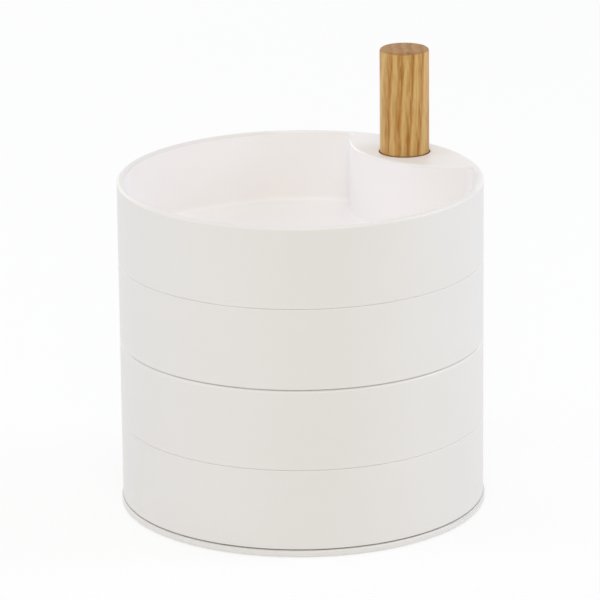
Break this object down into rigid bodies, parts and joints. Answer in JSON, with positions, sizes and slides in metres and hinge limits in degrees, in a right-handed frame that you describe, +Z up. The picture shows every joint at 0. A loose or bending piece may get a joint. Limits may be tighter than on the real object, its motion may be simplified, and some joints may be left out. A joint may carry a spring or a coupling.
{
  "type": "swivel-tray jewellery box",
  "caption": "Round white box of stacked open trays that swivel sideways about an upright rod near their edge, with a turned wooden handle on top, for keeping small jewellery.",
  "frame": {"origin": "middle of the round base on the table, at the undersides of the foot pads", "axes": "+Z up, +Y from the middle of the trays towards the pivot rod, +X to the right of someone facing +Y"},
  "size_m": [0.1008, 0.1008, 0.1214],
  "materials": {
    "white_plastic": "satin white moulded plastic",
    "bush_plastic": "natural acetal",
    "washer_plastic": "black nylon",
    "handle_wood": "turned ash, clear satin lacquer",
    "rod_steel": "bright drawn steel",
    "screw_steel": "zinc-plated steel",
    "spring_steel": "oiled spring steel",
    "insert_brass": "turned brass",
    "pad_rubber": "soft grey rubber"
  },
  "bodies": {
    "base_and_pivot": {"base_plate": "white_plastic", "base_screw": "screw_steel", "foot_pad_1": "pad_rubber", "foot_pad_2": "pad_rubber", "foot_pad_3": "pad_rubber", "foot_pad_4": "pad_rubber", "pivot_rod": "rod_steel", "spacer_bush_lower": "bush_plastic", "spacer_bush_upper": "bush_plastic", "spacer_bush_top": "bush_plastic", "friction_washer": "washer_plastic", "spring_washer": "spring_steel", "handle": "handle_wood", "threaded_insert": "insert_brass"},
    "bottom_tier": {"tray_bottom": "white_plastic"},
    "lower_tier": {"tray_lower": "white_plastic"},
    "upper_tier": {"tray_upper": "white_plastic"},
    "top_tier": {"tray_top": "white_plastic"}
  },
  "joints": [
    {"name": "bottom_tray_swivel", "type": "hinge", "parent": "base_and_pivot", "child": "bottom_tier", "pos_m": [0, 0.0389, 0], "axis": [0, 0, 1], "continuous": true},
    {"name": "lower_tray_swivel", "type": "hinge", "parent": "base_and_pivot", "child": "lower_tier", "pos_m": [0, 0.0389, 0], "axis": [0, 0, 1], "continuous": true},
    {"name": "upper_tray_swivel", "type": "hinge", "parent": "base_and_pivot", "child": "upper_tier", "pos_m": [0, 0.0389, 0], "axis": [0, 0, 1], "continuous": true},
    {"name": "top_tray_swivel", "type": "hinge", "parent": "base_and_pivot", "child": "top_tier", "pos_m": [0, 0.0389, 0], "axis": [0, 0, 1], "continuous": true}
  ]
}
